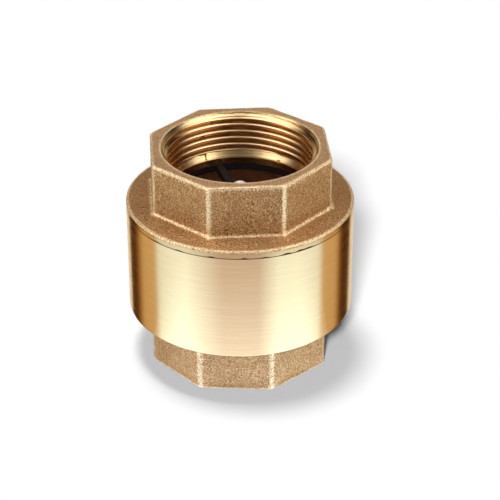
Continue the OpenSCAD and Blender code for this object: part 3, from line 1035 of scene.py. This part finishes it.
class VALVE_OT_stage(Operator):
    """White floor and background, soft lamps, reflector cards and the camera"""

    bl_idname = "valve.stage"
    bl_label = "Stage"

    def execute(self, context):
        scene, studio = context.scene, context.scene.valve_studio
        middle = Vector((0, 0, 0.035))
        tilt = studio.elevation
        back = Vector((0, -math.cos(tilt), math.sin(tilt)))
        lens = bpy.data.cameras.new("camera")
        lens.lens, lens.sensor_width = 125.83, 36
        lens.shift_x, lens.shift_y = 0.0196, -0.0022
        lens.clip_start, lens.clip_end = 0.01, 20
        camera = bpy.data.objects.new("camera", lens)
        scene.collection.objects.link(camera)
        camera.matrix_world = (Matrix.Translation(middle + back * studio.distance)
                               @ Matrix.Rotation(math.pi / 2 - tilt, 4, "X")
                               @ Matrix.Rotation(math.radians(-0.218), 4, "Z"))
        scene.camera = camera

        half = 4.0
        mesh = bpy.data.meshes.new("floor")
        mesh.from_pydata([(-half, -half, 0), (half, -half, 0), (half, half, 0), (-half, half, 0)], [],
                         [(0, 1, 2, 3)])
        material, tree, out = new_material("white_floor")
        paper = add(tree, "BsdfDiffuse", {"Color": (0.92, 0.92, 0.925, 1)})
        white = add(tree, "Emission", {"Color": (1, 1, 1, 1),
                                       "Strength": maths(tree, "MULTIPLY", seen_directly(tree), 0.03)})
        both = add(tree, "AddShader", {0: paper.outputs[0], 1: white.outputs[0]})
        tree.links.new(both.outputs[0], out.inputs[0])
        mesh.materials.append(material)
        floor = bpy.data.objects.new("floor", mesh)
        scene.collection.objects.link(floor)
        floor.visible_glossy = False

        white, cream, tan = (1.0, 1.0, 1.0), (0.98, 1.12, 1.16), (0.60, 0.48, 0.42)
        gold, amber, brown = (0.70, 0.49, 0.25), (0.34, 0.16, 0.03), (0.085, 0.028, 0.005)
        wall("low_wall", [(-180, white), (-148, white), (-146, brown), (-129, brown), (-122, amber),
                          (-114, gold), (-93, gold), (-89, cream), (-54, cream), (-18, tan), (18, tan),
                          (38, cream), (85, cream), (90, gold), (111, gold), (117, amber), (122, brown),
                          (143, brown), (146, white), (180, white)], -1.5, -0.05)
        dome("sky", (1.0, 0.9, 0.8), [
            (-12, [(0, 0.5), (30, 0.55), (54, 1.25), (72, 1.35), (108, 0.5), (140, 0.2), (162, 0.3), (180, 0.65)]),
            (0, [(0, 0.47), (30, 0.55), (54, 1.25), (72, 1.35), (108, 0.6), (140, 0.6), (162, 0.5), (180, 0.65)]),
            (14, [(0, 0.0), (27, 0.0), (36, 0.6), (50, 2.2), (72, 2.5), (90, 1.0), (108, 0.35), (150, 0.3), (180, 0.95)]),
            (26, [(0, 0.1), (18, 0.2), (34, 0.8), (50, 2.95), (72, 3.25), (90, 1.35), (104, 0.0), (150, 0.0),
                  (180, 1.05)]),
            (38, [(0, 0.2), (18, 0.3), (34, 0.6), (50, 1.95), (72, 2.1), (90, 1.0), (106, 0.0), (160, 0.05), (180, 0.85)]),
            (50, [(0, 0.15), (36, 0.7), (60, 0.9), (95, 1.7), (115, 2.0), (145, 0.15), (180, 0.45)]),
            (62, [(0, 0.0), (30, 0.4), (60, 1.3), (90, 2.7), (125, 2.7), (150, 0.6), (180, 0.4)]),
            (74, [(0, 0.9), (30, 1.6), (60, 2.6), (90, 3.2), (125, 3.1), (155, 0.9), (180, 0.7)]),
            (90, [(0, 1.6), (180, 1.6)])])
        floor_sheen("floor_sheen", [(0.03, 1.0), (0.05, 0.90), (0.10, 0.32), (0.14, 0.05), (0.17, 0.0)], 75,
                    (0.85, 1.05, 1.30))
        soft_light("key_light", -8.2, 33, 7, studio.key_light)
        soft_light("top_light", -128, 82.5, 14, studio.top_light)

        world = bpy.data.worlds.new("studio")
        scene.world = world
        world.use_nodes = True
        tree = world.node_tree
        tree.nodes.clear()
        out = tree.nodes.new("ShaderNodeOutputWorld")
        level = maths(tree, "ADD", 0.02, maths(tree, "MULTIPLY", seen_directly(tree), 0.98))
        sky = add(tree, "Background", {"Color": (1, 1, 1, 1), "Strength": level})
        tree.links.new(sky.outputs[0], out.inputs[0])
        scene.view_settings.view_transform = "Standard"
        return {"FINISHED"}


# panel and run


class VALVE_PT_panel(Panel):
    """Sizes, colours and pieces of the valve"""

    bl_label = "Non-return valve"
    bl_idname = "VALVE_PT_panel"
    bl_space_type = "VIEW_3D"
    bl_region_type = "UI"
    bl_category = "Valve"

    def draw(self, context):
        for group, _ in GROUPS:
            box = self.layout.box()
            settings = getattr(context.scene, group)
            for key in settings.bl_rna.properties.keys():
                if key not in {"rna_type", "name"}:
                    box.prop(settings, key)
        for operator in PIECES:
            self.layout.operator(operator.bl_idname)


GROUPS = (("valve_brass", BrassSettings), ("valve_threads", ThreadSettings),
          ("valve_moulded", MouldedSettings), ("valve_studio", StudioSettings))
PIECES = (VALVE_OT_body, VALVE_OT_cap, VALVE_OT_seals, VALVE_OT_guide, VALVE_OT_plunger,
          VALVE_OT_fixings, VALVE_OT_spring, VALVE_OT_stage)


def register():
    """Registers the settings, operators and panel."""
    for name, group in GROUPS:
        bpy.utils.register_class(group)
        setattr(bpy.types.Scene, name, PointerProperty(type=group))
    for operator in PIECES:
        bpy.utils.register_class(operator)
    bpy.utils.register_class(VALVE_PT_panel)


def unregister():
    """Removes what register added."""
    bpy.utils.unregister_class(VALVE_PT_panel)
    for operator in reversed(PIECES):
        bpy.utils.unregister_class(operator)
    for name, group in reversed(GROUPS):
        delattr(bpy.types.Scene, name)
        bpy.utils.unregister_class(group)


def main():
    """Builds every piece and the stage."""
    random.seed(4)
    register()
    bpy.ops.valve.body()
    bpy.ops.valve.cap()
    bpy.ops.valve.seals()
    bpy.ops.valve.guide()
    bpy.ops.valve.plunger()
    bpy.ops.valve.fixings()
    bpy.ops.valve.spring()
    bpy.ops.valve.stage()


if __name__ == "__main__":
    main()
